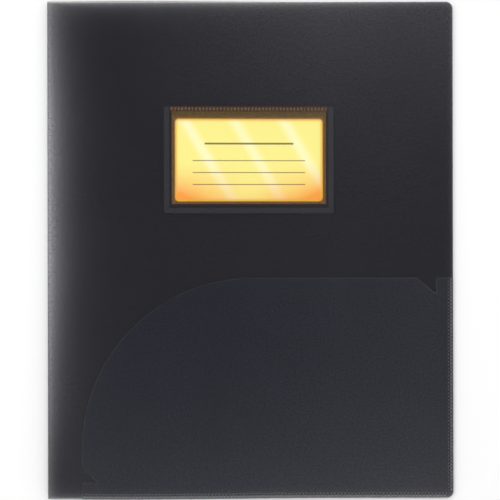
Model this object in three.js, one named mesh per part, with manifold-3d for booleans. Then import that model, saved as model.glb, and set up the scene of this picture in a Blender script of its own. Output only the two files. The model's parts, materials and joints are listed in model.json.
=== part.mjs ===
// A letter-size two-pocket folder of smoke-grey polypropylene sheet, lying closed with its front cover up.
// Millimetres. X runs from the spine to the free edge, Y up the page, Z up from the table.
import * as THREE from "three";
import { mergeVertices } from "three/addons/utils/BufferGeometryUtils.js";
import Module from "manifold-3d";

const wasm = await Module();
wasm.setup();

// Covers and spine
const FOLDER_WIDTH = 238.6; // closed, from the spine's bulge to the free edge
const FOLDER_HEIGHT = 292.1;
const CORNER_RADIUS = 4; // the two corners of each cover at the free edge
const COVER_THICKNESS = 0.5;
const SPINE_HEIGHT = 7; // from the table to the front cover's outer face, at the crease
const SPINE_BULGE = 1.25; // how far the spine bows out beyond its two creases
const CREASE_GAP = 0.3; // from a crease's axis to the end of each panel beside it

// The front cover springs up beside the spine and comes down to the free edge
const PUFF_HEIGHT = 9.2; // its outer face at the highest line
const PUFF_PEAK = 45; // from the crease to that line
const PUFF_END = 165; // from the crease to where the cover lies flat
const CLOSED_GAP = 0.4; // air between the two pockets along the free edge

// Pockets: one sheet each, welded to its cover along the free edge and the foot
const POCKET_WIDTH = 218.2;
const POCKET_HEIGHT = 129.6;
const POCKET_THICKNESS = 0.4;
const POCKET_SWEEP_RADIUS = 100; // the large quarter round towards the spine
const SIDE_TAB = 9.9; // the welded tab beside the upper notch
const FOOT_TAB = 9.1; // the welded tab under the lower notch
const NOTCH_DEPTH = 8.6;
const NOTCH_RADIUS = 1;
const TAB_RADIUS = 1.8;

// Welds: a strip that bridges the gap between two sheets
const WELD_GAP = 0.3; // between a cover and its pocket
const WELD_CLEARANCE = 0.05; // from a weld's faces to the sheets it holds
const SEAM_WIDTH = 2.6;
const SEAM_INSET = 0.5; // from the sheet's edge to the seam
const SEAM_BREAK = 0.3; // between the side seam and the foot seam

// Card window with its sleeve behind the front cover
const WINDOW_WIDTH = 86.9;
const WINDOW_HEIGHT = 48.7;
const WINDOW_RADIUS = 2.4;
const WINDOW_CENTRE_X = -0.75;
const WINDOW_DROP = 68.75; // from the folder's top edge to the window's top edge
const FILM_GAP = 0.25; // between the cover and the clear film
const FILM_THICKNESS = 0.2;
const FILM_EDGE_GAP = 0.1; // from the film's edges to the sleeve's weld
const CARD_WIDTH = 90.8;
const CARD_HEIGHT = 57.4;
const CARD_THICKNESS = 0.3;
const CARD_OVER_WINDOW = 7.2; // the card's top edge above the window's
const CARD_CLEARANCE = 0.15; // on each face of the card
const CARD_SIDE_PLAY = 1.15; // from each side of the card to the sleeve's weld
const CARD_FOOT_PLAY = 2.1;
const SLEEVE_WELD_WIDTH = 3.5;
const SLEEVE_THICKNESS = 0.35;
const FILM_SEAM_WIDTH = 2.7;

// Faceting
const RISE_STEPS = 8;
const FALL_STEPS = 18;
const ARC_FINENESS = 2.4; // steps of an arc, for each square root of its radius
const SPINE_STEPS = 10;
const MARGIN = 5; // how far a cutting body runs past what it cuts

const freeEdgeX = FOLDER_WIDTH / 2;
const topY = FOLDER_HEIGHT / 2;
const footY = -topY;
const creaseX = -freeEdgeX + SPINE_BULGE + COVER_THICKNESS / 2;
const panelStartX = creaseX + CREASE_GAP;

// Depths are counted inwards from a cover's outer face
const pocketNear = COVER_THICKNESS + WELD_GAP;
const pocketFar = pocketNear + POCKET_THICKNESS;
const filmNear = COVER_THICKNESS + FILM_GAP;
const filmFar = filmNear + FILM_THICKNESS;
const cardNear = filmFar + CARD_CLEARANCE;
const cardFar = cardNear + CARD_THICKNESS;
const sleeveNear = cardFar + CARD_CLEARANCE;
const sleeveFar = sleeveNear + SLEEVE_THICKNESS;
const closedHeight = 2 * pocketFar + CLOSED_GAP;

const pocketLeftX = freeEdgeX - POCKET_WIDTH;
const pocketTopY = footY + POCKET_HEIGHT;
const windowTopY = topY - WINDOW_DROP;
const cardTopY = windowTopY + CARD_OVER_WINDOW;
const cardFootY = cardTopY - CARD_HEIGHT;
const sleeveInnerHalf = CARD_WIDTH / 2 + CARD_SIDE_PLAY;
const sleeveOuterHalf = sleeveInnerHalf + SLEEVE_WELD_WIDTH;
const sleeveInnerFootY = cardFootY - CARD_FOOT_PLAY;
const sleeveFootY = sleeveInnerFootY - SLEEVE_WELD_WIDTH;

// A closed three.js geometry as a solid
function solidOf(geometry) {
  const bare = new THREE.BufferGeometry().setAttribute("position", geometry.getAttribute("position"));
  bare.setIndex(geometry.index);
  const merged = mergeVertices(bare);
  const vertProperties = merged.getAttribute("position").array;
  const triVerts = Uint32Array.from(merged.index.array);
  return new wasm.Manifold(new wasm.Mesh({ numProp: 3, vertProperties, triVerts }));
}

// A solid as a named three.js mesh
function meshOf(name, solid, color, roughness, extra = {}) {
  const { vertProperties, triVerts } = solid.getMesh();
  const geometry = new THREE.BufferGeometry();
  geometry.setAttribute("position", new THREE.BufferAttribute(vertProperties, 3));
  geometry.setIndex(new THREE.BufferAttribute(triVerts, 1));
  geometry.computeVertexNormals();
  const material = new THREE.MeshStandardMaterial({ color, roughness, metalness: 0, ...extra });
  const mesh = new THREE.Mesh(geometry, material);
  mesh.name = name;
  return mesh;
}

// A plan outline through corners [x, y, radius], counted anticlockwise
function outline(corners) {
  const points = corners.flatMap(([x, y, radius = 0], i) => {
    const corner = new THREE.Vector2(x, y);
    if (radius === 0) return [corner];
    const [beforeX, beforeY] = corners.at(i - 1);
    const [afterX, afterY] = corners[(i + 1) % corners.length];
    const toBefore = new THREE.Vector2(beforeX - x, beforeY - y).normalize();
    const toAfter = new THREE.Vector2(afterX - x, afterY - y).normalize();
    const half = toBefore.angleTo(toAfter) / 2;
    const start = corner.clone().addScaledVector(toBefore, radius / Math.tan(half));
    const end = corner.clone().addScaledVector(toAfter, radius / Math.tan(half));
    const inward = toBefore.clone().add(toAfter).normalize();
    const centre = corner.clone().addScaledVector(inward, radius / Math.sin(half));
    const startAngle = start.sub(centre).angle();
    const endAngle = end.sub(centre).angle();
    const turnsRight = toAfter.cross(toBefore) < 0;
    const arc = new THREE.EllipseCurve(centre.x, centre.y, radius, radius, startAngle, endAngle, turnsRight);
    return arc.getPoints(Math.ceil(ARC_FINENESS * Math.sqrt(radius)));
  });
  return new THREE.Shape(points);
}

function rectangle(x0, y0, x1, y1, radius = 0) {
  return outline([[x0, y0, radius], [x1, y0, radius], [x1, y1, radius], [x0, y1, radius]]);
}

// A plan outline as an upright body that runs past the folder above and below
function prism(shape) {
  const depth = PUFF_HEIGHT + 2 * MARGIN;
  const geometry = new THREE.ExtrudeGeometry(shape, { depth, bevelEnabled: false });
  return solidOf(geometry.translate(0, 0, -MARGIN));
}

function box(x0, y0, z0, x1, y1, z1) {
  const geometry = new THREE.BoxGeometry(x1 - x0, y1 - y0, z1 - z0);
  return geometry.translate((x0 + x1) / 2, (y0 + y1) / 2, (z0 + z1) / 2);
}

// Height of the front cover's outer face
function coverZ(x) {
  const distance = x - creaseX;
  const rise = THREE.MathUtils.smoothstep(distance, 0, PUFF_PEAK);
  const fall = THREE.MathUtils.smoothstep(distance, PUFF_PEAK, PUFF_END);
  return SPINE_HEIGHT + (PUFF_HEIGHT - SPINE_HEIGHT) * rise - (PUFF_HEIGHT - closedHeight) * fall;
}

function stations() {
  const rise = Array.from({ length: RISE_STEPS }, (_, i) => (i / RISE_STEPS) * PUFF_PEAK);
  const fall = Array.from({ length: FALL_STEPS + 1 }, (_, i) =>
    THREE.MathUtils.lerp(PUFF_PEAK, PUFF_END, i / FALL_STEPS));
  return [...rise, ...fall].map((distance) => creaseX + distance).concat(freeEdgeX + MARGIN);
}

// An XZ section drawn out along Y, past the folder's top and foot
function drawnAlongY(section, length) {
  const geometry = new THREE.ExtrudeGeometry(section, { depth: length, bevelEnabled: false });
  return solidOf(geometry.rotateX(Math.PI / 2).translate(0, length / 2, 0));
}

// A sheet that follows a cover, from depth near to depth far inside its outer face
function sheet(side, plan, near, far) {
  if (side === "back") {
    const geometry = box(creaseX, footY - MARGIN, near, freeEdgeX + MARGIN, topY + MARGIN, far);
    return solidOf(geometry).intersect(plan);
  }
  const low = stations().map((x) => new THREE.Vector2(x, coverZ(x) - far));
  const high = stations().map((x) => new THREE.Vector2(x, coverZ(x) - near));
  const section = new THREE.Shape([...low, ...high.reverse()]);
  return drawnAlongY(section, FOLDER_HEIGHT + 2 * MARGIN).intersect(plan);
}

// A weld fills the gap from depth near to depth far
function weld(side, plan, near, far) {
  return sheet(side, plan, near + WELD_CLEARANCE, far - WELD_CLEARANCE);
}

function coverPlan(hole) {
  const shape = outline([
    [panelStartX, footY],
    [freeEdgeX, footY, CORNER_RADIUS],
    [freeEdgeX, topY, CORNER_RADIUS],
    [panelStartX, topY],
  ]);
  if (hole) shape.holes.push(hole);
  return prism(shape);
}

function pocketPlan() {
  const sideTabX = freeEdgeX - SIDE_TAB;
  const footTabY = footY + FOOT_TAB;
  return prism(outline([
    [pocketLeftX, footY],
    [freeEdgeX, footY, CORNER_RADIUS],
    [freeEdgeX, pocketTopY],
    [sideTabX, pocketTopY, TAB_RADIUS],
    [sideTabX, pocketTopY - NOTCH_DEPTH - NOTCH_RADIUS, NOTCH_RADIUS / 2],
    [sideTabX - NOTCH_DEPTH - NOTCH_RADIUS - TAB_RADIUS, pocketTopY, TAB_RADIUS],
    [pocketLeftX, pocketTopY, POCKET_SWEEP_RADIUS],
    [pocketLeftX, footTabY + NOTCH_DEPTH + NOTCH_RADIUS],
    [pocketLeftX + NOTCH_DEPTH + NOTCH_RADIUS, footTabY, NOTCH_RADIUS / 2],
    [pocketLeftX, footTabY, NOTCH_RADIUS],
  ]));
}

// The spine bows out between its two creases
function spine() {
  const chord = SPINE_HEIGHT - COVER_THICKNESS;
  const radius = (chord * chord / 4 + SPINE_BULGE * SPINE_BULGE) / (2 * SPINE_BULGE);
  const centre = new THREE.Vector2(creaseX - SPINE_BULGE + radius, SPINE_HEIGHT / 2);
  const half = Math.asin(chord / 2 / radius) - CREASE_GAP / radius;
  const arc = (r, direction) => Array.from({ length: SPINE_STEPS + 1 }, (_, i) => {
    const angle = Math.PI + direction * half * (1 - (2 * i) / SPINE_STEPS);
    return new THREE.Vector2(centre.x + r * Math.cos(angle), centre.y + r * Math.sin(angle));
  });
  const outer = arc(radius + COVER_THICKNESS / 2, -1);
  const inner = arc(radius - COVER_THICKNESS / 2, 1);
  return drawnAlongY(new THREE.Shape([...outer, ...inner]), FOLDER_HEIGHT);
}

function pocketParts(side) {
  const plan = pocketPlan();
  const seamX1 = freeEdgeX - SEAM_INSET;
  const seamX0 = seamX1 - SEAM_WIDTH;
  const seamY0 = footY + SEAM_INSET;
  const seam = (...strip) =>
    weld(side, prism(rectangle(...strip)).intersect(plan), COVER_THICKNESS, pocketNear);
  return {
    pocket: sheet(side, plan, pocketNear, pocketFar),
    sideSeam: seam(seamX0, seamY0, seamX1, pocketTopY),
    footSeam: seam(pocketLeftX, seamY0, seamX0 - SEAM_BREAK, seamY0 + SEAM_WIDTH),
  };
}

function sleeveParts() {
  const at = (half) => [WINDOW_CENTRE_X - half, WINDOW_CENTRE_X + half];
  const [outerX0, outerX1] = at(sleeveOuterHalf);
  const [innerX0, innerX1] = at(sleeveInnerHalf);
  const [filmX0, filmX1] = at(sleeveInnerHalf - FILM_EDGE_GAP);
  const [cardX0, cardX1] = at(CARD_WIDTH / 2);
  const whole = prism(rectangle(outerX0, sleeveFootY, outerX1, cardTopY));
  const inside = prism(rectangle(innerX0, sleeveInnerFootY, innerX1, cardTopY + MARGIN));
  const filmPlan = prism(rectangle(filmX0, sleeveInnerFootY + FILM_EDGE_GAP, filmX1, cardTopY));
  const filmSeamPlan = prism(rectangle(filmX0, cardTopY - FILM_SEAM_WIDTH, filmX1, cardTopY));
  return {
    sleeve: sheet("front", whole, sleeveNear, sleeveFar),
    sleeveSeam: weld("front", whole.subtract(inside), COVER_THICKNESS, sleeveNear),
    film: sheet("front", filmPlan, filmNear, filmFar),
    filmSeam: weld("front", filmSeamPlan, COVER_THICKNESS, filmNear),
    card: sheet("front", prism(rectangle(cardX0, cardFootY, cardX1, cardTopY)), cardNear, cardFar),
  };
}

// Smoke-grey sheet, its paler welds, the clear film and the printed card
const SMOKE = 0x29292d;
const SMOKE_POCKET = 0x303238;
const WELD_GREY = 0x434347;
const FILM_CLEAR = 0xe8ecef;
const CARD_YELLOW = 0xffe98a;
const clear = { transparent: true, opacity: 0.25 };

const windowHole = rectangle(
  WINDOW_CENTRE_X - WINDOW_WIDTH / 2, windowTopY - WINDOW_HEIGHT,
  WINDOW_CENTRE_X + WINDOW_WIDTH / 2, windowTopY, WINDOW_RADIUS);
const back = pocketParts("back");
const front = pocketParts("front");
const window = sleeveParts();

const backLeaf = new THREE.Group();
backLeaf.add(
  meshOf("back_cover", sheet("back", coverPlan(), 0, COVER_THICKNESS), SMOKE, 0.5),
  meshOf("back_pocket", back.pocket, SMOKE_POCKET, 0.5),
  meshOf("back_pocket_side_seam", back.sideSeam, WELD_GREY, 0.6),
  meshOf("back_pocket_foot_seam", back.footSeam, WELD_GREY, 0.6),
);

const cardGroup = new THREE.Group();
cardGroup.add(meshOf("card_insert", window.card, CARD_YELLOW, 0.45));

const frontLeaf = new THREE.Group();
frontLeaf.add(
  meshOf("front_cover", sheet("front", coverPlan(windowHole), 0, COVER_THICKNESS), SMOKE, 0.5),
  meshOf("front_pocket", front.pocket, SMOKE_POCKET, 0.5),
  meshOf("front_pocket_side_seam", front.sideSeam, WELD_GREY, 0.6),
  meshOf("front_pocket_foot_seam", front.footSeam, WELD_GREY, 0.6),
  meshOf("window_film", window.film, FILM_CLEAR, 0.15, clear),
  meshOf("window_film_seam", window.filmSeam, WELD_GREY, 0.6),
  meshOf("card_sleeve", window.sleeve, SMOKE, 0.5),
  meshOf("card_sleeve_seam", window.sleeveSeam, WELD_GREY, 0.6),
  cardGroup,
);

const folder = new THREE.Group();
folder.add(backLeaf, meshOf("spine", spine(), SMOKE, 0.5), frontLeaf);

export default folder;
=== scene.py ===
"""A letter-size pocket folder of smoke-grey polypropylene, lying closed on a white table.

Metres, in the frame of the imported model: X from the spine to the free edge, Y up the page, Z up.
Each sheet is drawn flat, in plan, and then laid on the section that its cover follows.
"""
import json
import math

import bmesh
import bpy
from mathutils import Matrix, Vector


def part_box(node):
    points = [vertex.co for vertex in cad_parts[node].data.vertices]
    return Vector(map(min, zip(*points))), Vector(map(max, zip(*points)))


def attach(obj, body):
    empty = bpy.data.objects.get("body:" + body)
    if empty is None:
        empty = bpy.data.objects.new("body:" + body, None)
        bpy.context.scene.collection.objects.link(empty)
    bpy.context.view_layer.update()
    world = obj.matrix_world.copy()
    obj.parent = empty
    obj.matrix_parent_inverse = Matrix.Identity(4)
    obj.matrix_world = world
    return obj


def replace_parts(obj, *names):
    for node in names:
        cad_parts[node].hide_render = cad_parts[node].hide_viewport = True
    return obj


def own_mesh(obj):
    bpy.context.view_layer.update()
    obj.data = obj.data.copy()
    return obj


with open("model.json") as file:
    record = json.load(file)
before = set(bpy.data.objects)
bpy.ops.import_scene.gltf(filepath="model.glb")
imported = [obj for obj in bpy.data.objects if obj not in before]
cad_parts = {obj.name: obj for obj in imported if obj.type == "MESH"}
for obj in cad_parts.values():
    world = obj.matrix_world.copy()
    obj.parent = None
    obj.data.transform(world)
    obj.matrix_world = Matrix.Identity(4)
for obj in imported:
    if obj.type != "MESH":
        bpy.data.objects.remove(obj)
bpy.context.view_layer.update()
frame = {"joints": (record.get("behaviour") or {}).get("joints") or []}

MM = 0.001
AXIS_X, AXIS_Y = 0, 1

# The folded cover: its places in the frame, and the curve of its front
joints = {joint["name"]: joint for joint in frame["joints"]}
CREASE_X, _, LOWER_CREASE_Z = joints["spine_fold"]["pos_m"]
UPPER_CREASE_Z = joints["cover_open"]["pos_m"][2]
FREE_EDGE_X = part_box("front_cover")[1].x
TOP_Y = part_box("front_cover")[1].y
FOOT_Y = -TOP_Y
COVER_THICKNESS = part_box("back_cover")[1].z
SPINE_BULGE = CREASE_X - COVER_THICKNESS / 2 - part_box("spine")[0].x
PUFF_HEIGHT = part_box("front_cover")[1].z
PUFF_PEAK, PUFF_END = 45 * MM, 165 * MM  # from the crease to the highest line and to the flat
CLOSED_HEIGHT = 2.8 * MM  # of the front cover's outer face in its flat part
CORNER_RADIUS = 4 * MM
CREASE_ROUND = 0.55 * MM

# Depths of the other sheets, counted inwards from their cover's outer face
POCKET_NEAR, POCKET_FAR = 0.8 * MM, 1.2 * MM
FILM_NEAR, FILM_FAR = 0.75 * MM, 0.95 * MM
CARD_NEAR, CARD_FAR = 1.1 * MM, 1.4 * MM
SLEEVE_NEAR, SLEEVE_FAR = 1.55 * MM, 1.9 * MM
WELD_CLEARANCE = 0.05 * MM

# Pocket outline
POCKET_LEFT_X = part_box("front_pocket")[0].x
POCKET_TOP_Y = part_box("front_pocket")[1].y
POCKET_SWEEP_RADIUS = 100 * MM
SIDE_TAB = 9.9 * MM
FOOT_TAB = 9.1 * MM
NOTCH_DEPTH = 8.6 * MM
NOTCH_RADIUS = 1 * MM
TAB_RADIUS = 1.8 * MM

# Window
WINDOW_WIDTH = 86.9 * MM
WINDOW_HEIGHT = 48.7 * MM
WINDOW_RADIUS = 2.4 * MM
WINDOW_CENTRE_X = -0.75 * MM
WINDOW_TOP_Y = TOP_Y - 68.75 * MM
CARD_RADIUS = 0.5 * MM

# Ribbed welds
RIB_PITCH = 2.05 * MM
RIB_HEIGHT = 0.09 * MM
FAINT_RIB_HEIGHT = 0.03 * MM
RIB_SHARES = (0.25, 0.4, 0.5, 0.6, 0.75)  # of the pitch, where a rib's faces are cut
RIB_MARGIN = 0.1 * MM  # from a band's long sides to its ribs
RIB_TAPER = 0.3 * MM
RIB_TURN = 0.12 * MM  # from the middle of a two-sided rib to the full painted shade of its sides
CREST_SHARE = 0.4
BAND_INSET = 0.12 * MM
FILM_RIB_DROP = 0.45 * MM
EVEN_SHADE, EVEN_SWING = 0.19, 0.1  # of a pale band, and what its ribs add to that

# Sheet edges
RIM_WIDTH = 0.35 * MM
EDGE_ROUND = 0.08 * MM
EDGE_SHOULDER = (0.3, 0.7)  # shares of the round's depth and of its reach

# Fineness of the meshes
ARC_STEP = math.radians(5)
PANEL_STEP_X, PANEL_STEP_Y = 3 * MM, 12 * MM
SPINE_STEP = 0.3 * MM
CREASE_STEP = 0.12 * MM
SLOPE_STEP = 0.1 * MM
LEAST_SPACING = 0.05 * MM
TOUCHING = 1e-7


def smoothstep(value, start, end):
    t = min(max((value - start) / (end - start), 0), 1)
    return t * t * (3 - 2 * t)


def cover_height(x):
    """Height of the front cover's outer face, which springs up beside the spine."""
    distance = x - CREASE_X
    low = UPPER_CREASE_Z + COVER_THICKNESS / 2
    rise = (PUFF_HEIGHT - low) * smoothstep(distance, 0, PUFF_PEAK)
    fall = (PUFF_HEIGHT - CLOSED_HEIGHT) * smoothstep(distance, PUFF_PEAK, PUFF_END)
    return low + rise - fall


def stretch(low, high, step):
    """Places from low to high, about one step apart."""
    count = max(1, round((high - low) / step))
    return [low + (high - low) * i / count for i in range(count + 1)]


def corner_arc(before, corner, after, radius):
    """Points of the round that a plan corner gets."""
    to_before, to_after = (before - corner).normalized(), (after - corner).normalized()
    half = to_before.angle(to_after) / 2
    centre = corner + (to_before + to_after).normalized() * radius / math.sin(half)
    start = corner + to_before * radius / math.tan(half) - centre
    turn = start.angle_signed(corner + to_after * radius / math.tan(half) - centre)
    steps = max(2, math.ceil(abs(turn) / ARC_STEP))
    points = []
    for i in range(steps + 1):
        angle = -turn * i / steps
        cosine, sine = math.cos(angle), math.sin(angle)
        points.append((centre.x + start.x * cosine - start.y * sine,
                       centre.y + start.x * sine + start.y * cosine))
    return points


def outline(*corners):
    """A closed plan outline through corners (x, y, radius)."""
    points = []
    for i, (x, y, radius) in enumerate(corners):
        if radius == 0:
            points.append((x, y))
            continue
        before, after = corners[i - 1], corners[(i + 1) % len(corners)]
        points += corner_arc(Vector(before[:2]), Vector((x, y)), Vector(after[:2]), radius)
    return points


def rectangle(x0, y0, x1, y1, radius=0.0):
    return outline((x0, y0, radius), (x1, y0, radius), (x1, y1, radius), (x0, y1, radius))


def of_box(node, margin=0.0):
    """The plan of a node's box, drawn in by a margin."""
    low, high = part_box(node)
    return low.x + margin, low.y + margin, high.x - margin, high.y - margin


def crossings(low, high, places, marks):
    """The places between low and high with low and high themselves, and those with marks added."""
    kept = [low, *[p for p in places if low < p < high], high]
    clear = [m for m in marks if low < m < high and min(abs(m - k) for k in kept) > LEAST_SPACING]
    return kept, sorted(kept + clear)


class Band:
    """A strip of ribs in plan. The ribs follow each other along the given axis.

    outward is 1 or -1 where the ribs get painted light on the side that faces an edge of the sheet and
    painted shade on the other, and 0 where the whole band is pale and its ribs are faint. crest is the
    material of the crests.
    """

    def __init__(self, box, along, height, outward=0, crest=0):
        x0, y0, x1, y1 = box
        self.low, self.high = (x0 + BAND_INSET, y0 + BAND_INSET), (x1 - BAND_INSET, y1 - BAND_INSET)
        self.along, self.across = along, 1 - along
        self.width = self.high[self.across] - self.low[self.across]
        length = self.high[along] - self.low[along]
        self.count = round(length / RIB_PITCH)
        self.pitch = length / self.count
        self.height, self.outward, self.crest = height, outward, crest

    def wave_at(self, station):
        """1 along the middle of a rib, 0 between the ribs."""
        return max(0.0, -math.cos(2 * math.pi * (station - self.low[self.along]) / self.pitch))

    def body_at(self, lane):
        """0 along the band's long sides, 1 further in."""
        offset = lane - self.low[self.across]
        return smoothstep(min(offset, self.width - offset) - RIB_MARGIN, 0, RIB_TAPER)

    def rib_at(self, station, lane):
        """1 on the crest of a rib, 0 between the ribs."""
        return self.wave_at(station) * self.body_at(lane)

    def shade_at(self, station, lane):
        """Painted light and shade: positive where the band is paler than the sheet, negative where
        darker.
        """
        if not self.outward:
            from_end = min(station - self.low[self.along], self.high[self.along] - station)
            level = EVEN_SHADE + EVEN_SWING * self.wave_at(station)
            return level * self.body_at(lane) * smoothstep(from_end, 0, RIB_TAPER)
        # Painted light on the side towards the sheet's edge, painted shade on the other
        past_middle = lane - self.low[self.across] - self.width / 2
        return self.rib_at(station, lane) * min(max(past_middle * self.outward / RIB_TURN, -1), 1)

    def lay_out(self, places):
        """Settles where the band's rows and lanes run, so that the plan's cuts fall on them."""
        start, end = self.low[self.along], self.high[self.along]
        ribs = [start + (i + share) * self.pitch for i in range(self.count) for share in RIB_SHARES]
        self.coarse, self.stations = crossings(start, end, places[self.along], ribs)
        left, right = self.low[self.across], self.high[self.across]
        marks = [left + RIB_MARGIN, left + RIB_MARGIN + RIB_TAPER, right - RIB_MARGIN - RIB_TAPER,
                 right - RIB_MARGIN]
        if self.outward:
            marks += [left + self.width / 2 - RIB_TURN, left + self.width / 2 + RIB_TURN]
        self.lanes = crossings(left, right, places[self.across], marks)[1]

    def vertex(self, bm, layers, station, lane):
        place = (station, lane, 0) if self.along == AXIS_X else (lane, station, 0)
        vert = bm.verts.new(place)
        vert[layers[0]] = self.rib_at(station, lane) * self.height
        vert[layers[1]] = self.shade_at(station, lane)
        return vert

    def border(self, bm, layers):
        """Adds the vertices round the band and returns the edges between them."""
        start, end, left, right = self.stations[0], self.stations[-1], self.lanes[0], self.lanes[-1]
        ring = [(s, left) for s in self.coarse] + [(end, lane) for lane in self.lanes[1:]]
        ring += [(s, right) for s in reversed(self.coarse[:-1])]
        ring += [(start, lane) for lane in reversed(self.lanes[1:-1])]
        self.grid = {key: self.vertex(bm, layers, *key) for key in ring}
        return [bm.edges.new((self.grid[ring[i - 1]], self.grid[ring[i]])) for i in range(len(ring))]

    def fill(self, bm, layers):
        """Adds the band's faces inside its border."""
        inner = self.lanes[1:-1]
        for station in self.stations[1:-1]:
            for lane in inner:
                self.grid[station, lane] = self.vertex(bm, layers, station, lane)
        for first, second in zip(self.stations, self.stations[1:]):
            on_crest = self.wave_at((first + second) / 2) > CREST_SHARE
            for left, right in zip(inner, inner[1:]):
                corners = (first, left), (second, left), (second, right), (first, right)
                face = bm.faces.new([self.grid[key] for key in corners])
                face.material_index = self.crest if on_crest else 0
        for first, second in zip(self.coarse, self.coarse[1:]):
            reach = [s for s in self.stations if first <= s <= second]
            for edge, lane in ((self.lanes[0], inner[0]), (self.lanes[-1], inner[-1])):
                corners = [(first, edge), (second, edge), *[(s, lane) for s in reversed(reach)]]
                bm.faces.new([self.grid[key] for key in corners])


def slice_plan(bm, axis, places):
    """Cuts the plan across an axis at each place."""
    normal = [0.0, 0.0, 0.0]
    normal[axis] = 1.0
    for place in places:
        point = [0.0, 0.0, 0.0]
        point[axis] = place
        everything = bm.verts[:] + bm.edges[:] + bm.faces[:]
        bmesh.ops.bisect_plane(bm, geom=everything, dist=TOUCHING, plane_co=point, plane_no=normal)


def drawn_in(points, distance):
    """An anticlockwise outline moved inwards by a distance."""
    moved = []
    for i, point in enumerate(points):
        here = Vector(point)
        before, after = here - Vector(points[i - 1]), Vector(points[(i + 1) % len(points)]) - here
        first, second = (Vector((-d.y, d.x)).normalized() for d in (before, after))
        moved.append(here + (first + second) * distance / (1 + first.dot(second)))
    return moved


def closed_loop(bm, points):
    corners = [bm.verts.new((x, y, 0)) for x, y in points]
    return corners, [bm.edges.new((corners[i - 1], corners[i])) for i in range(len(corners))]


def on_cut(first, second, cuts):
    """Whether an edge lies on a cut along X, where the sheet goes on in its neighbour."""
    return any(max(abs(first.co.x - cut), abs(second.co.x - cut)) < TOUCHING for cut in cuts)


def plan_mesh(outer, hole, bands, places, rim, cuts):
    """A flat mesh inside the outer outline and outside the hole, with its rim in material 1."""
    bm = bmesh.new()
    layers = [bm.verts.layers.float.new(name) for name in ("rib_height", "rib_shade")]
    edges = []
    for points, direction in ((outer, 1), (hole, -1)):
        if not points:
            continue
        corners, border = closed_loop(bm, points)
        if rim:
            inner, border = closed_loop(bm, drawn_in(points, rim * direction))
            for i in range(len(corners)):
                quad = bm.faces.new([corners[i - 1], corners[i], inner[i], inner[i - 1]])
                quad.material_index = 0 if on_cut(corners[i - 1], corners[i], cuts) else 1
        edges += border
    for band in bands:
        band.lay_out(places)
        edges += band.border(bm, layers)
    bmesh.ops.triangle_fill(bm, use_beauty=True, edges=edges)
    slice_plan(bm, AXIS_X, places[AXIS_X])
    slice_plan(bm, AXIS_Y, places[AXIS_Y])
    for band in bands:
        band.fill(bm, layers)
    bmesh.ops.recalc_face_normals(bm, faces=bm.faces[:])
    if bm.faces[0].normal.z < 0:
        bmesh.ops.reverse_faces(bm, faces=bm.faces[:])
    return bm


def edge_rows(thickness):
    """The rounded edge of a sheet, as (share of the thickness, how far out) from near to far."""
    bulge = min(EDGE_ROUND, thickness / 3)
    share = bulge / thickness
    depth, reach = share * EDGE_SHOULDER[0], bulge * EDGE_SHOULDER[1]
    return [(depth, reach), (share, bulge), (1 - share, bulge), (1 - depth, reach)]


def border_sides(plan):
    """The border's vertices, each with the direction out of the sheet, and the loops along it."""
    outward, loops = {}, []
    for edge in plan.edges:
        if len(edge.link_faces) != 1:
            continue
        loop = edge.link_loops[0]
        loops.append(loop)
        along = (loop.link_loop_next.vert.co - loop.vert.co).normalized()
        for vert in edge.verts:
            outward[vert] = outward.get(vert, Vector((0, 0, 0))) + Vector((along.y, -along.x, 0))
    return outward, loops


def sheet(name, outer, lay, near, far, hole=(), bands=(), places=None, rim=RIM_WIDTH, cuts=()):
    """A sheet of even thickness, with its rim in material 1.

    lay(x, y, depth, rib) is the place of a plan point at a depth. The depths of the sheet's faces are
    near and far, and cuts are the places along X where it goes on in another sheet.
    """
    plan = plan_mesh(outer, hole, bands, places or EVEN_PLACES, rim, cuts)
    outward, border = border_sides(plan)
    height, shade = (plan.verts.layers.float[key] for key in ("rib_height", "rib_shade"))
    bm = bmesh.new()
    uv = bm.loops.layers.uv.new("plan")
    rib_shade = bm.verts.layers.float.new("rib_shade")
    where = {}

    def point(vert, share, out=0.0):
        place = vert.co
        if out and all(abs(place.x - cut) > EDGE_ROUND for cut in cuts):
            place = place + outward[vert].normalized() * out
        made = bm.verts.new(lay(place.x, place.y, near + (far - near) * share, vert[height]))
        made[rib_shade] = vert[shade]
        where[made] = place
        return made

    tops = {v: point(v, 0) for v in plan.verts}
    feet = {v: point(v, 1) for v in plan.verts}
    rows = edge_rows(far - near)
    walls = {v: [tops[v], *[point(v, share, out) for share, out in rows], feet[v]] for v in outward}
    for face in plan.faces:
        bm.faces.new([tops[v] for v in face.verts]).material_index = face.material_index
        bm.faces.new([feet[v] for v in reversed(face.verts)]).material_index = face.material_index
    for loop in border:
        start, end = loop.vert, loop.link_loop_next.vert
        first, second = walls[start], walls[end]
        material = 1 if rim and not on_cut(start, end, cuts) else 0
        for i in range(len(first) - 1):
            quad = bm.faces.new([first[i], first[i + 1], second[i + 1], second[i]])
            quad.material_index = material
    for face in bm.faces:
        face.smooth = True
        for loop in face.loops:
            loop[uv].uv = where[loop.vert].xy
    bmesh.ops.recalc_face_normals(bm, faces=bm.faces[:])
    mesh = bpy.data.meshes.new(name)
    bm.to_mesh(mesh)
    bm.free()
    plan.free()
    piece = bpy.data.objects.new(name, mesh)
    bpy.context.scene.collection.objects.link(piece)
    return piece


# The section of the folded cover

SPINE_CHORD = UPPER_CREASE_Z - LOWER_CREASE_Z
SPINE_RADIUS = (SPINE_CHORD ** 2 / 4 + SPINE_BULGE ** 2) / (2 * SPINE_BULGE)
SPINE_HALF_ANGLE = math.asin(SPINE_CHORD / 2 / SPINE_RADIUS)
SPINE_CENTRE_X = CREASE_X - SPINE_BULGE + SPINE_RADIUS
SPINE_MIDDLE_Z = (UPPER_CREASE_Z + LOWER_CREASE_Z) / 2
SPINE_END_X = CREASE_X - SPINE_RADIUS * SPINE_HALF_ANGLE


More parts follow.
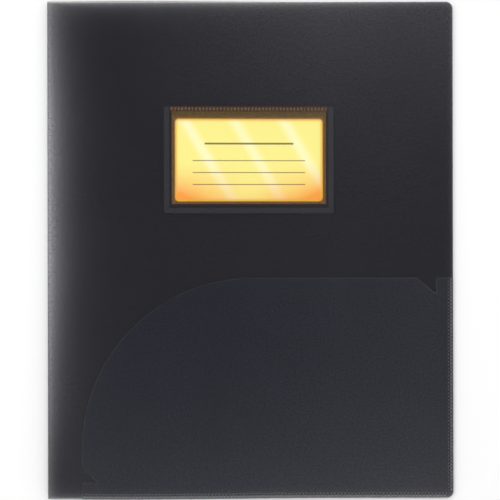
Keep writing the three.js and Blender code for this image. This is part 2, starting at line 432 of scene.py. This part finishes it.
def spine_arc(x):
    """Centre line of the upper half of the spine, where x runs on past the crease."""
    angle = (x - SPINE_END_X) / SPINE_RADIUS
    point = Vector((SPINE_CENTRE_X - SPINE_RADIUS * math.cos(angle),
                    SPINE_MIDDLE_Z + SPINE_RADIUS * math.sin(angle)))
    return point, Vector((-math.cos(angle), math.sin(angle)))


def panel(x, height):
    """Centre line of a cover's panel, and the direction out of its outer face."""
    slope = (height(x + SLOPE_STEP) - height(x - SLOPE_STEP)) / (2 * SLOPE_STEP)
    return Vector((x, height(x) - COVER_THICKNESS / 2)), Vector((-slope, 1)).normalized()


def folded(x, height):
    """Centre line and outward direction from the middle of the spine to the free edge."""
    bend_start, bend_end = CREASE_X - CREASE_ROUND, CREASE_X + CREASE_ROUND
    if x >= bend_end:
        return panel(x, height)
    if x <= bend_start:
        return spine_arc(x)
    (low, low_out), (high, high_out) = spine_arc(bend_start), panel(bend_end, height)
    corner = Vector((CREASE_X, height(CREASE_X) - COVER_THICKNESS / 2))
    t = (x - bend_start) / (bend_end - bend_start)
    point = low * (1 - t) ** 2 + corner * 2 * t * (1 - t) + high * t ** 2
    return point, low_out.lerp(high_out, t).normalized()


def flat_height(_):
    """Height of the back cover's outer face before that cover is turned over."""
    return UPPER_CREASE_Z + COVER_THICKNESS / 2


def lay_front_cover(x, y, depth, rib):
    point, out = folded(x, cover_height)
    place = point + out * (COVER_THICKNESS / 2 - depth + rib)
    return place.x, y, place.y


def lay_back_cover(x, y, depth, _):
    """The back cover lies on its outer face, so its ribs aren't raised."""
    point, out = folded(x, flat_height)
    place = point + out * (COVER_THICKNESS / 2 - depth)
    return place.x, y, 2 * SPINE_MIDDLE_Z - place.y


def lay_front(x, y, depth, rib):
    return x, y, cover_height(x) - depth + rib


def lay_back(x, y, depth, rib):
    return x, y, depth - rib


# Node trees

# A Mix node's sockets for colours go by number, because those for plain numbers have the same names
MIX_FIRST, MIX_SECOND, MIX_RESULT = 6, 7, 2


class Shader:
    """A material's nodes. Numbers are metres of the plan unless they are plain shares."""

    def __init__(self, name):
        self.material = bpy.data.materials.new(name)
        self.material.use_nodes = True
        self.tree = self.material.node_tree
        self.tree.nodes.clear()
        self.surface = self.tree.nodes.new("ShaderNodeBsdfPrincipled")
        output = self.tree.nodes.new("ShaderNodeOutputMaterial")
        self.tree.links.new(self.surface.outputs["BSDF"], output.inputs["Surface"])
        self.plan = self.tree.nodes.new("ShaderNodeUVMap")
        self.plan.uv_map = "plan"
        split = self.tree.nodes.new("ShaderNodeSeparateXYZ")
        self.tree.links.new(self.plan.outputs["UV"], split.inputs["Vector"])
        self.x, self.y = split.outputs["X"], split.outputs["Y"]

    def put(self, value, socket):
        if isinstance(value, bpy.types.NodeSocket):
            self.tree.links.new(value, socket)
        else:
            socket.default_value = value

    def math(self, operation, *values):
        node = self.tree.nodes.new("ShaderNodeMath")
        node.operation = operation
        for value, socket in zip(values, node.inputs):
            self.put(value, socket)
        return node.outputs["Value"]

    def total(self, *values):
        result = values[0]
        for value in values[1:]:
            result = self.math("ADD", result, value)
        return result

    def product(self, *values):
        result = values[0]
        for value in values[1:]:
            result = self.math("MULTIPLY", result, value)
        return result

    def spread(self, value, low, high):
        """A share from 0 to 1 as a share from low to high."""
        return self.math("ADD", self.math("MULTIPLY", value, high - low), low)

    def share(self, value, start, end):
        """How far value has come from start to end, held from 0 to 1."""
        node = self.tree.nodes.new("ShaderNodeMapRange")
        self.put(value, node.inputs["Value"])
        node.inputs["From Min"].default_value = start
        node.inputs["From Max"].default_value = end
        return node.outputs["Result"]

    def fade(self, distance, length, amount):
        """amount at distance 0, falling off with distance."""
        falling = self.math("EXPONENT", self.math("MULTIPLY", distance, -1 / length))
        return self.math("MULTIPLY", falling, amount)

    def noise(self, size, detail=2.0, distortion=0.0, stretched=(1, 1, 1)):
        """Noise over the plan, from 0 to 1, with features of the given size."""
        scaled = self.tree.nodes.new("ShaderNodeVectorMath")
        scaled.operation = "MULTIPLY"
        self.put(self.plan.outputs["UV"], scaled.inputs[0])
        scaled.inputs[1].default_value = stretched
        node = self.tree.nodes.new("ShaderNodeTexNoise")
        node.inputs["Scale"].default_value = 1 / size
        node.inputs["Detail"].default_value = detail
        node.inputs["Distortion"].default_value = distortion
        self.put(scaled.outputs["Vector"], node.inputs["Vector"])
        return node.outputs["Fac"]

    def rib_shade(self):
        node = self.tree.nodes.new("ShaderNodeAttribute")
        node.attribute_name = "rib_shade"
        return node.outputs["Fac"]

    def beyond_window(self, inset):
        """Distance in plan outwards from a rectangle that lies inside the window by an inset."""
        middle_y = WINDOW_TOP_Y - WINDOW_HEIGHT / 2
        aside = self.math("ABSOLUTE", self.math("SUBTRACT", self.x, WINDOW_CENTRE_X))
        along = self.math("ABSOLUTE", self.math("SUBTRACT", self.y, middle_y))
        beyond_x = self.math("SUBTRACT", aside, WINDOW_WIDTH / 2 - inset)
        beyond_y = self.math("SUBTRACT", along, WINDOW_HEIGHT / 2 - inset)
        return self.math("MAXIMUM", self.math("MAXIMUM", beyond_x, beyond_y), 0.0)

    def tinted(self, tint, value):
        """A colour of fixed hue, as bright as value."""
        node = self.tree.nodes.new("ShaderNodeCombineXYZ")
        for share, socket in zip(tint, node.inputs):
            self.put(self.math("MULTIPLY", value, share), socket)
        return node.outputs["Vector"]

    def summed(self, *colours):
        result = colours[0]
        for colour in colours[1:]:
            node = self.tree.nodes.new("ShaderNodeVectorMath")
            self.put(result, node.inputs[0])
            self.put(colour, node.inputs[1])
            result = node.outputs["Vector"]
        return result

    def mix(self, share, first, second):
        """A blend of two colours."""
        node = self.tree.nodes.new("ShaderNodeMix")
        node.data_type = "RGBA"
        self.put(share, node.inputs["Factor"])
        self.put(first, node.inputs[MIX_FIRST])
        self.put(second, node.inputs[MIX_SECOND])
        return node.outputs[MIX_RESULT]

    def bump(self, height, distance, strength=1.0):
        node = self.tree.nodes.new("ShaderNodeBump")
        node.inputs["Strength"].default_value = strength
        node.inputs["Distance"].default_value = distance
        self.put(height, node.inputs["Height"])
        return node.outputs["Normal"]

    def finish(self, **sockets):
        for name, value in sockets.items():
            self.put(value, self.surface.inputs[name.replace("_", " ")])
        return self.material


SMOKE_TINT = (1.0, 1.0, 1.38)
POCKET_TINT = (0.73, 0.90, 1.33)
NEUTRAL = (1.0, 0.995, 1.03)
# The colour of the card's light that is painted on the sheets beside the window
CARD_LIGHT_TINT = (1.0, 0.38, 0.06)
GRAIN_SIZE, GRAIN_BUMP = 1.1 * MM, 0.03 * MM
CLOUD_SIZE, CLOUD_SWING = 38 * MM, (0.92, 1.08)
GLOW_SPECKLE = (0.5, 1.5)
SMOKE_ROUGHNESS = (0.38, 0.62)

# Painted light: the glow of frosted sheet at its edges, as (how far it reaches, how bright it is at the
# edge)
SPINE_GLOW = (7.5 * MM, 0.26)
SPINE_LINE = (2.6 * MM, 0.165)
HEAD_LINE = (1.3 * MM, 0.33)
HEAD_LEFT_GLOW = (5 * MM, 0.085)
HEAD_RIGHT_GLOW = (60 * MM, 0.052)
FOOT_LINE = (1.6 * MM, 0.16)
FOOT_GLOW = (60 * MM, 0.03)
FOOT_RIGHT_GLOW = (32 * MM, 0.012)
FREE_EDGE_LINE = (1.0 * MM, 0.07)
CARD_LIGHT_REACH = 0.9 * MM

# Where a glow comes in along the sheet, as (place where it starts, place where it is full)
SPINE_BELOW_HEAD = (150 * MM, 75 * MM)
SPINE_ABOVE_FOOT = (-128 * MM, -10 * MM)
HEAD_LINE_SPAN = (120 * MM, 0)
HEAD_LEFT_SPAN = (110 * MM, -90 * MM)
HEAD_RIGHT_SPAN = (-77 * MM, 41 * MM)
FOOT_RIGHT_SPAN = (-110 * MM, 85 * MM)
RIGHT_SPAN = (-20 * MM, 110 * MM)

# The least share of a glow, where it hasn't come in yet
SPINE_AT_HEAD = 0.5
SPINE_LINE_AT_FOOT = 0.65
HEAD_LINE_AT_RIGHT = 0.3

# Painted light and shade of the ribs: how much paler where rib_shade is positive, how much darker where
# negative
PALE_RIB = 0.1
DARK_RIB = 0.8


def smoke_material(name, core, tint, alpha, glow, right=0.0, card_light=0.0, speckle=0.85):
    """Frosted sheet with painted light: a glow at the spine, the head, the foot and the edge is painted
    into its colour.

    core and tint are the sheet's own colour and speckle is how much the grain swings it. glow is its
    share of that painted light, right is how much paler it is towards the free edge, and card_light is
    the painted light that the card adds beside the window.
    """
    shader = Shader(name)
    grain = shader.noise(GRAIN_SIZE, detail=1)
    cloud = shader.noise(CLOUD_SIZE, detail=2)
    from_spine = shader.math("ABSOLUTE", shader.math("SUBTRACT", shader.x, CREASE_X))
    from_head = shader.math("SUBTRACT", TOP_Y, shader.y)
    from_foot = shader.math("SUBTRACT", shader.y, FOOT_Y)
    from_edge = shader.math("SUBTRACT", FREE_EDGE_X, shader.x)
    # Painted light: glows at the spine, the head, the foot and the free edge, added to the colour
    below_head = shader.spread(shader.share(shader.y, *SPINE_BELOW_HEAD), SPINE_AT_HEAD, 1.0)
    above_foot = shader.share(shader.y, *SPINE_ABOVE_FOOT)
    spine_light = shader.product(below_head, shader.total(
        shader.product(above_foot, shader.fade(from_spine, *SPINE_GLOW)),
        shader.product(shader.spread(above_foot, SPINE_LINE_AT_FOOT, 1.0),
                       shader.fade(from_spine, *SPINE_LINE))))
    along_head = shader.spread(shader.share(shader.x, *HEAD_LINE_SPAN), HEAD_LINE_AT_RIGHT, 1.0)
    head_light = shader.product(along_head, shader.fade(from_head, *HEAD_LINE))
    glowing = shader.product(glow, shader.total(
        shader.math("MAXIMUM", spine_light, head_light),
        shader.product(shader.share(shader.x, *HEAD_LEFT_SPAN),
                       shader.fade(from_head, *HEAD_LEFT_GLOW)),
        shader.product(shader.share(shader.x, *HEAD_RIGHT_SPAN),
                       shader.fade(from_head, *HEAD_RIGHT_GLOW)),
        shader.fade(from_foot, *FOOT_LINE),
        shader.fade(from_foot, *FOOT_GLOW),
        shader.product(shader.share(shader.x, *FOOT_RIGHT_SPAN),
                       shader.fade(from_foot, *FOOT_RIGHT_GLOW)),
        shader.fade(from_edge, *FREE_EDGE_LINE),
    ))
    to_right = shader.product(shader.share(shader.x, *RIGHT_SPAN), right)
    # Painted light and shade on the ribs, from rib_shade
    rib = shader.rib_shade()
    pale_ribs = shader.product(shader.math("MAXIMUM", rib, 0.0), PALE_RIB * glow)
    dark_ribs = shader.math("MAXIMUM", shader.product(rib, -DARK_RIB), 0.0)
    neutral = shader.total(glowing, to_right, pale_ribs)
    evenly = shader.product(shader.spread(cloud, *CLOUD_SWING), shader.math("SUBTRACT", 1.0, dark_ribs))
    own = shader.product(evenly, shader.spread(grain, 1 - speckle, 1 + speckle), core)
    lit = shader.product(evenly, shader.spread(grain, *GLOW_SPECKLE), neutral)
    parts = [shader.tinted(tint, own), shader.tinted(NEUTRAL, lit)]
    # Painted light: the card's orange light on the sheet beside the window
    if card_light:
        from_window = shader.fade(shader.beyond_window(0), CARD_LIGHT_REACH, card_light)
        parts.append(shader.tinted(CARD_LIGHT_TINT, from_window))
    return shader.finish(
        Base_Color=shader.summed(*parts),
        Roughness=shader.spread(grain, *SMOKE_ROUGHNESS),
        Specular_IOR_Level=0.08,
        Alpha=alpha,
        Normal=shader.bump(grain, GRAIN_BUMP, strength=0.6),
    )


WELD_GRAIN_SIZE, WELD_GRAIN_SWING = 0.7 * MM, (0.8, 1.2)
WELD_PATCH_SIZE, WELD_PATCH_SWING = 6 * MM, (0.75, 1.25)
WELD_ROUGHNESS = (0.3, 0.5)
WELD_BUMP = 0.01 * MM
WELD_LEAST = 0.01


def weld_material(name, core, swing, tint, alpha):
    """Fused sheet, clouded where the tool has pressed it; its ribs swing from painted light to painted
    shade.
    """
    shader = Shader(name)
    grain = shader.noise(WELD_GRAIN_SIZE, detail=1)
    patches = shader.noise(WELD_PATCH_SIZE, detail=2)
    # Painted light and shade of the ribs, from rib_shade
    ribbed = shader.math("ADD", core, shader.math("MULTIPLY", shader.rib_shade(), swing))
    light = shader.product(shader.math("MAXIMUM", ribbed, WELD_LEAST),
                           shader.spread(grain, *WELD_GRAIN_SWING),
                           shader.spread(patches, *WELD_PATCH_SWING))
    return shader.finish(
        Base_Color=shader.tinted(tint, light),
        Roughness=shader.spread(grain, *WELD_ROUGHNESS),
        Specular_IOR_Level=0.1,
        Alpha=alpha,
        Normal=shader.bump(grain, WELD_BUMP, strength=0.5),
    )


WIPE_SIZE = 9 * MM
WIPE_STRETCH = (1, 4, 1)
WIPE_LIGHT, WIPE_ROUGHNESS = (0.4, 0.6), (0.05, 0.14)
WIPE_BUMP = 0.1 * MM
FILM_TINT = (1, 1, 0.98)


def film_material():
    """Clear glossy film with faint wipes and a slight wave."""
    shader = Shader("clear_film")
    wipes = shader.noise(WIPE_SIZE, detail=3, distortion=0.6, stretched=WIPE_STRETCH)
    return shader.finish(
        Base_Color=shader.tinted(FILM_TINT, shader.spread(wipes, *WIPE_LIGHT)),
        Roughness=shader.spread(wipes, *WIPE_ROUGHNESS),
        Specular_IOR_Level=0.3,
        Alpha=0.03,
        Normal=shader.bump(wipes, WIPE_BUMP, strength=0.2),
    )


CARD_YELLOW = (1.0, 0.90, 0.26, 1)
CARD_CREAM = (1.0, 0.98, 0.55, 1)
CARD_AMBER = (1.0, 0.36, 0.035, 1)
# Painted shade on the card under the cover: orange near the window, olive further off
CARD_SHADED_ORANGE = (1.0, 0.50, 0.01, 1)
CARD_SHADED_OLIVE = (0.80, 0.54, 0.02, 1)
CARD_INK = (0.10, 0.045, 0.02, 1)
INK_COVER = 0.85
TOOTH_SIZE, TOOTH_BUMP = 0.6 * MM, 0.01 * MM
CARD_CLOUD_SIZE = 22 * MM
CARD_ROUGHNESS = (0.4, 0.6)

# The print, in heights above the window's foot and distances aside from its middle
AMBER_BELOW, AMBER_FULL = 24 * MM, -2 * MM
AMBER_ASIDE = (4 * MM, 40 * MM)
AMBER_CURVE = 1.6
AMBER_IN_MIDDLE = 0.2
AMBER_SWING, BAR_SWING = (1.0, 2.0), (0.5, 1.3)
BAR_PITCH, BAR_SLANT, BAR_CURVE = 29 * MM, 0.6, 3.0
# Painted shade on the card where the cover lies over it: orange to olive from 0.5 mm to 4.5 mm beyond
# the window's edge, coming in from 2 mm inside it
MARGIN_SHADE_SPAN = (0.5 * MM, 4.5 * MM)
WINDOW_SHADE = 2 * MM

# Ruled lines on the card, as (height, half length, half thickness)
CARD_RULES = ((34 * MM, 26 * MM, 0.5 * MM), (24 * MM, 33 * MM, 0.2 * MM), (17 * MM, 33 * MM, 0.2 * MM),
              (10 * MM, 33 * MM, 0.2 * MM))
RULE_BLUR, RULE_END_BLUR = 0.08 * MM, 0.1 * MM


def card_material():
    """Printed card: a yellow field with soft cream bars, amber lower corners and ruled lines, with
    painted shade beyond the window that turns it orange and then olive.
    """
    shader = Shader("printed_card")
    tooth = shader.noise(TOOTH_SIZE, detail=2)
    cloud = shader.noise(CARD_CLOUD_SIZE, detail=2)
    aside = shader.math("ABSOLUTE", shader.math("SUBTRACT", shader.x, WINDOW_CENTRE_X))
    window_foot = WINDOW_TOP_Y - WINDOW_HEIGHT
    falling = shader.share(shader.y, window_foot + AMBER_BELOW, window_foot + AMBER_FULL)
    low = shader.math("POWER", falling, AMBER_CURVE)
    corner = shader.spread(shader.share(aside, *AMBER_ASIDE), AMBER_IN_MIDDLE, 1.0)
    warm = shader.product(low, corner, shader.spread(cloud, *AMBER_SWING))
    slant = shader.math("ADD", shader.x, shader.product(shader.y, BAR_SLANT))
    wave = shader.math("SINE", shader.product(slant, 2 * math.pi / BAR_PITCH))
    bars = shader.math("POWER", shader.math("MAXIMUM", wave, 0.0), BAR_CURVE)
    creamy = shader.product(bars, shader.spread(cloud, *BAR_SWING))
    field = shader.mix(creamy, CARD_YELLOW, CARD_CREAM)
    field = shader.mix(shader.math("MINIMUM", warm, 1.0), field, CARD_AMBER)
    inked = 0.0
    for height, half_length, half_thickness in CARD_RULES:
        off = shader.math("ABSOLUTE", shader.math("SUBTRACT", shader.y, window_foot + height))
        line = shader.share(off, half_thickness + RULE_BLUR, half_thickness)
        ends = shader.share(aside, half_length + RULE_END_BLUR, half_length)
        inked = shader.math("MAXIMUM", inked, shader.product(line, ends))
    field = shader.mix(shader.product(inked, INK_COVER), field, CARD_INK)
    # Painted shade: the card turns orange and then olive from just inside the window out under the cover
    outer = shader.share(shader.beyond_window(0), *MARGIN_SHADE_SPAN)
    margin = shader.mix(outer, CARD_SHADED_ORANGE, CARD_SHADED_OLIVE)
    shade = shader.share(shader.beyond_window(WINDOW_SHADE), 0, WINDOW_SHADE)
    return shader.finish(
        Base_Color=shader.mix(shade, field, margin),
        Roughness=shader.spread(tooth, *CARD_ROUGHNESS),
        Specular_IOR_Level=0.2,
        Normal=shader.bump(tooth, TOOTH_BUMP, strength=0.4),
    )


# The rims are paler than the sheets: a painted highlight along their cut edges
SMOKE_CORE, SMOKE_RIM_HIGHLIGHT_CORE = 0.019, 0.05
SMOKE_ALPHA, SMOKE_RIM_ALPHA = 0.43, 0.5
smoke = smoke_material("smoke_sheet", SMOKE_CORE, SMOKE_TINT, SMOKE_ALPHA, glow=1.0, card_light=0.15)
smoke_rim_highlight = smoke_material("smoke_sheet_rim", SMOKE_RIM_HIGHLIGHT_CORE, SMOKE_TINT, SMOKE_RIM_ALPHA, glow=1.0,
                           card_light=0.2)
# Crests of the film's ribs: thinner sheet, with the card's light painted into it as an amber colour
pressed_thin_card_lit = smoke_material("smoke_sheet_pressed_thin", core=0.26, tint=(1.0, 0.76, 0.1), alpha=0.28,
                              glow=0.2)
sleeve_smoke = smoke_material("sleeve_sheet", SMOKE_CORE, SMOKE_TINT, SMOKE_ALPHA, glow=0.0)
sleeve_rim_highlight = smoke_material("sleeve_sheet_rim", SMOKE_RIM_HIGHLIGHT_CORE, SMOKE_TINT, SMOKE_RIM_ALPHA, glow=0.0)
smoke_back = smoke_material("smoke_sheet_back", SMOKE_CORE, SMOKE_TINT, alpha=0.62, glow=0.7)
smoke_back_rim_highlight = smoke_material("smoke_sheet_back_rim", SMOKE_RIM_HIGHLIGHT_CORE, SMOKE_TINT, alpha=0.7, glow=0.7)
pocket_smoke = smoke_material("pocket_sheet", core=0.063, tint=POCKET_TINT, alpha=0.9, glow=0.25,
                              right=0.056, speckle=0.5)
pocket_rim_highlight = smoke_material("pocket_sheet_rim", core=0.14, tint=(0.95, 1.0, 1.15), alpha=0.8, glow=0.3,
                            right=0.14)
seam_weld = weld_material("weld", core=0.33, swing=0.5, tint=(1.0, 1.0, 1.04), alpha=0.9)
sleeve_weld = weld_material("weld_faint", core=0.06, swing=0.02, tint=(1.0, 1.0, 1.08), alpha=0.9)
weld_over_card = weld_material("weld_over_card", core=0.6, swing=0.0, tint=(1.0, 0.17, 0.17), alpha=0.4)
film = film_material()
card_print = card_material()


def dress(piece, slot, *materials):
    for material in materials:
        piece.data.materials.append(material)
    return piece


# Pieces

# Where the plans are cut, as (places along X, places along Y)
COVER_PLACES = (
    [
        *stretch(SPINE_END_X, CREASE_X - CREASE_ROUND, SPINE_STEP)[1:],
        *stretch(CREASE_X - CREASE_ROUND, CREASE_X + CREASE_ROUND, CREASE_STEP)[1:],
        *stretch(CREASE_X + CREASE_ROUND, FREE_EDGE_X, PANEL_STEP_X)[1:-1],
    ],
    stretch(FOOT_Y, TOP_Y, PANEL_STEP_Y)[1:-1],
)
EVEN_PLACES = (stretch(CREASE_X, FREE_EDGE_X, PANEL_STEP_X)[1:-1], COVER_PLACES[1])


def pocket_bands(side):
    """The ribs of a pocket's two seams, which stop short of the round corner."""
    x0, _, x1, y1 = of_box(f"{side}_pocket_side_seam")
    side_seam = (x0, FOOT_Y + CORNER_RADIUS, x1, y1)
    x0, y0, _, y1 = of_box(f"{side}_pocket_foot_seam")
    foot_seam = (x0, y0, FREE_EDGE_X - CORNER_RADIUS, y1)
    return {
        "side": Band(side_seam, AXIS_Y, RIB_HEIGHT, outward=1),
        "foot": Band(foot_seam, AXIS_X, RIB_HEIGHT, outward=-1),
    }


def film_ribs(crest):
    """The ribs of the film's weld, which start a little below its head."""
    x0, y0, x1, y1 = of_box("window_film_seam")
    return Band((x0, y0, x1, y1 - FILM_RIB_DROP), AXIS_X, FAINT_RIB_HEIGHT, crest=crest)


def sleeve_bands():
    """The ribs of the sleeve's weld, down one side, along the foot and up the other side."""
    x0, y0, x1, y1 = of_box("card_sleeve_seam")
    film_x0, film_y0, film_x1, _ = of_box("window_film")
    return [
        Band((x0, film_y0, film_x0, y1), AXIS_Y, FAINT_RIB_HEIGHT),
        Band((film_x1, film_y0, x1, y1), AXIS_Y, FAINT_RIB_HEIGHT),
        Band((x0, y0, x1, film_y0), AXIS_X, FAINT_RIB_HEIGHT),
    ]


def cover_outline():
    edge, top, foot = FREE_EDGE_X - EDGE_ROUND, TOP_Y - EDGE_ROUND, FOOT_Y + EDGE_ROUND
    return outline((CREASE_X, foot, 0), (edge, foot, CORNER_RADIUS), (edge, top, CORNER_RADIUS),
                   (CREASE_X, top, 0))


def make_spine():
    """The spine in two halves."""
    plan = rectangle(SPINE_END_X, FOOT_Y + EDGE_ROUND, CREASE_X, TOP_Y - EDGE_ROUND)
    halves = (
        ("upper", lay_front_cover, smoke, smoke_rim_highlight),
        ("lower", lay_back_cover, smoke_back, smoke_back_rim_highlight),
    )
    for name, lay, *materials in halves:
        half = sheet(f"{name}_spine_sheet", plan, lay, 0, COVER_THICKNESS, places=COVER_PLACES,
                     cuts=(SPINE_END_X, CREASE_X))
        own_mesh(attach(half, "spine"))
        dress(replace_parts(half, "spine"), "smoke_sheet", *materials)


def make_covers():
    """The two covers, each up to its crease, where the sheet goes on in the spine."""
    window = rectangle(
        WINDOW_CENTRE_X - WINDOW_WIDTH / 2, WINDOW_TOP_Y - WINDOW_HEIGHT,
        WINDOW_CENTRE_X + WINDOW_WIDTH / 2, WINDOW_TOP_Y, WINDOW_RADIUS)
    bands = [*pocket_bands("front").values(), *sleeve_bands(), film_ribs(crest=2)]
    front = sheet("front_cover_sheet", cover_outline(), lay_front_cover, 0, COVER_THICKNESS,
                  hole=window, bands=bands, places=COVER_PLACES, cuts=(CREASE_X,))
    back = sheet("back_cover_sheet", cover_outline(), lay_back_cover, 0, COVER_THICKNESS,
                 bands=pocket_bands("back").values(), places=COVER_PLACES, cuts=(CREASE_X,))
    dress(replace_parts(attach(front, "front"), "front_cover"), "smoke_sheet",
          smoke, smoke_rim_highlight, pressed_thin_card_lit)
    dress(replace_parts(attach(back, "back"), "back_cover"), "smoke_sheet", smoke_back, smoke_back_rim_highlight)


def pocket_outline():
    """The pocket's plan, with a notch beside each of its two tabs."""
    tab_x = FREE_EDGE_X - SIDE_TAB
    tab_y = FOOT_Y + FOOT_TAB
    notch = NOTCH_DEPTH + NOTCH_RADIUS
    edge, foot = FREE_EDGE_X - EDGE_ROUND, FOOT_Y + EDGE_ROUND
    return outline(
        (POCKET_LEFT_X, foot, 0), (edge, foot, CORNER_RADIUS), (edge, POCKET_TOP_Y, 0),
        (tab_x, POCKET_TOP_Y, TAB_RADIUS), (tab_x, POCKET_TOP_Y - notch, NOTCH_RADIUS / 2),
        (tab_x - notch - TAB_RADIUS, POCKET_TOP_Y, TAB_RADIUS),
        (POCKET_LEFT_X, POCKET_TOP_Y, POCKET_SWEEP_RADIUS),
        (POCKET_LEFT_X, tab_y + notch, 0), (POCKET_LEFT_X + notch, tab_y, NOTCH_RADIUS / 2),
        (POCKET_LEFT_X, tab_y, NOTCH_RADIUS))


def make_pocket(side, lay):
    piece = sheet(f"{side}_pocket_sheet", pocket_outline(), lay, POCKET_NEAR, POCKET_FAR)
    dress(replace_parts(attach(piece, side), f"{side}_pocket"), "pocket_sheet", pocket_smoke, pocket_rim_highlight)
    for place, band in pocket_bands(side).items():
        make_ribs(f"{side}_pocket_{place}", side, lay, band, COVER_THICKNESS, POCKET_NEAR, seam_weld)


def make_ribs(name, body, lay, band, near, far, *materials, head=0.0):
    """A weld's ribbed strip in the gap from depth near to depth far, with head above its ribs."""
    strip = rectangle(band.low[0] - BAND_INSET, band.low[1] - BAND_INSET,
                      band.high[0] + BAND_INSET, band.high[1] + BAND_INSET + head)
    sunk = near + WELD_CLEARANCE + band.height
    piece = sheet(f"{name}_ribs", strip, lay, sunk, far - WELD_CLEARANCE, bands=[band], rim=0)
    dress(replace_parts(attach(piece, body), f"{name}_seam"), "weld", *materials)


def make_sleeve():
    """Clear film, card and backing behind the window."""
    window_film = sheet("window_film_sheet", rectangle(*of_box("window_film", EDGE_ROUND)), lay_front,
                        FILM_NEAR, FILM_FAR, rim=0)
    dress(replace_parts(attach(window_film, "front"), "window_film"), "clear_film", film)
    card = sheet("card_print", rectangle(*of_box("card_insert", EDGE_ROUND), CARD_RADIUS), lay_front,
                 CARD_NEAR, CARD_FAR, rim=0)
    dress(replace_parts(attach(card, "card"), "card_insert"), "printed_card", card_print)
    backing = sheet("card_sleeve_sheet", rectangle(*of_box("card_sleeve", EDGE_ROUND)), lay_front,
                    SLEEVE_NEAR, SLEEVE_FAR)
    dress(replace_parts(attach(backing, "front"), "card_sleeve"), "smoke_sheet",
          sleeve_smoke, sleeve_rim_highlight)
    make_ribs("window_film", "front", lay_front, film_ribs(crest=1), COVER_THICKNESS, FILM_NEAR,
              weld_over_card, film, head=FILM_RIB_DROP)
    x0, y0, x1, y1 = of_box("card_sleeve_seam")
    film_x0, film_y0, film_x1, _ = of_box("window_film")
    frame_plan = outline((x0, y0, 0), (x1, y0, 0), (x1, y1, 0), (film_x1, y1, 0), (film_x1, film_y0, 0),
                         (film_x0, film_y0, 0), (film_x0, y1, 0), (x0, y1, 0))
    near = COVER_THICKNESS + WELD_CLEARANCE + FAINT_RIB_HEIGHT
    weld = sheet("card_sleeve_ribs", drawn_in(frame_plan, WELD_CLEARANCE), lay_front, near,
                 SLEEVE_NEAR - WELD_CLEARANCE, bands=sleeve_bands(), rim=0)
    dress(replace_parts(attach(weld, "front"), "card_sleeve_seam"), "weld", sleeve_weld)


# Stage, lamps and camera

FLOOR_HALF = 4.0
FLOOR_DROP = 0.05 * MM
FLOOR_WHITE = (0.97, 0.97, 0.97, 1)
SURROUND_BELOW, SURROUND_ABOVE = 0.73, 0.76
SOFTBOX_SIZE = 1.0

# Softboxes, as (name, place, watts)
SOFTBOXES = (("softbox_left", (-0.7, 0.3, 1.5), 6.4), ("softbox_head", (0.3, 0.8, 1.5), 4.2))


def make_floor():
    corners = rectangle(-FLOOR_HALF, -FLOOR_HALF, FLOOR_HALF, FLOOR_HALF)
    mesh = bpy.data.meshes.new("floor")
    mesh.from_pydata([(x, y, 0) for x, y in corners], [], [(0, 1, 2, 3)])
    floor = bpy.data.objects.new("floor", mesh)
    floor.location.z = -FLOOR_DROP
    bpy.context.scene.collection.objects.link(floor)
    paint = bpy.data.materials.new("table_white")
    paint.use_nodes = True
    surface = paint.node_tree.nodes["Principled BSDF"]
    surface.inputs["Base Color"].default_value = FLOOR_WHITE
    surface.inputs["Roughness"].default_value = 0.9
    surface.inputs["Specular IOR Level"].default_value = 0.0
    floor.data.materials.append(paint)


def make_lamp(name, place, watts):
    """A softbox that faces the folder."""
    lamp = bpy.data.lights.new(name, "AREA")
    lamp.size = SOFTBOX_SIZE
    lamp.energy = watts
    holder = bpy.data.objects.new(name, lamp)
    holder.location = place
    holder.rotation_euler = (-Vector(place)).to_track_quat("-Z", "Y").to_euler()
    bpy.context.scene.collection.objects.link(holder)


def make_light():
    """A pale surround, a little brighter overhead and white in view, and two softboxes."""
    world = bpy.data.worlds.new("studio")
    bpy.context.scene.world = world
    world.use_nodes = True
    tree = world.node_tree
    direction = tree.nodes.new("ShaderNodeTexCoord")
    split = tree.nodes.new("ShaderNodeSeparateXYZ")
    level = tree.nodes.new("ShaderNodeMapRange")
    levels = {"From Min": -1, "From Max": 1, "To Min": SURROUND_BELOW, "To Max": SURROUND_ABOVE}
    for socket, value in levels.items():
        level.inputs[socket].default_value = value
    background = tree.nodes["Background"]
    background.inputs["Color"].default_value = (1, 1, 1, 1)
    tree.links.new(direction.outputs["Generated"], split.inputs["Vector"])
    tree.links.new(split.outputs["Z"], level.inputs["Value"])
    strength = level.outputs["Result"]
    rays = tree.nodes.new("ShaderNodeLightPath")
    for kind in ("Is Camera Ray", "Is Glossy Ray", "Is Transmission Ray"):
        larger = tree.nodes.new("ShaderNodeMath")
        larger.operation = "MAXIMUM"
        tree.links.new(strength, larger.inputs[0])
        tree.links.new(rays.outputs[kind], larger.inputs[1])
        strength = larger.outputs["Value"]
    tree.links.new(strength, background.inputs["Strength"])
    for softbox in SOFTBOXES:
        make_lamp(*softbox)


CAMERA_X, CAMERA_Y = -0.265 * MM, 0.06 * MM  # where the middle of the photo is on the folder
CAMERA_HEIGHT = 1.1  # above the closed folder's free edge
PHOTO_WIDTH = 294.35 * MM  # of what the photo takes in at that edge
SENSOR_WIDTH = 36.0
LEAN = math.radians(-0.115)  # of the camera against the folder


def make_camera():
    """A camera straight above the folder."""
    lens = bpy.data.cameras.new("camera")
    lens.sensor_width = SENSOR_WIDTH
    lens.lens = SENSOR_WIDTH * CAMERA_HEIGHT / PHOTO_WIDTH
    camera = bpy.data.objects.new("camera", lens)
    camera.location = (CAMERA_X, CAMERA_Y, CLOSED_HEIGHT + CAMERA_HEIGHT)
    camera.rotation_euler = (0, 0, LEAN)
    bpy.context.scene.collection.objects.link(camera)
    bpy.context.scene.camera = camera


make_covers()
make_spine()
make_pocket("front", lay_front)
make_pocket("back", lay_back)
make_sleeve()
make_floor()
make_light()
make_camera()
bpy.context.scene.view_settings.view_transform = "Standard"
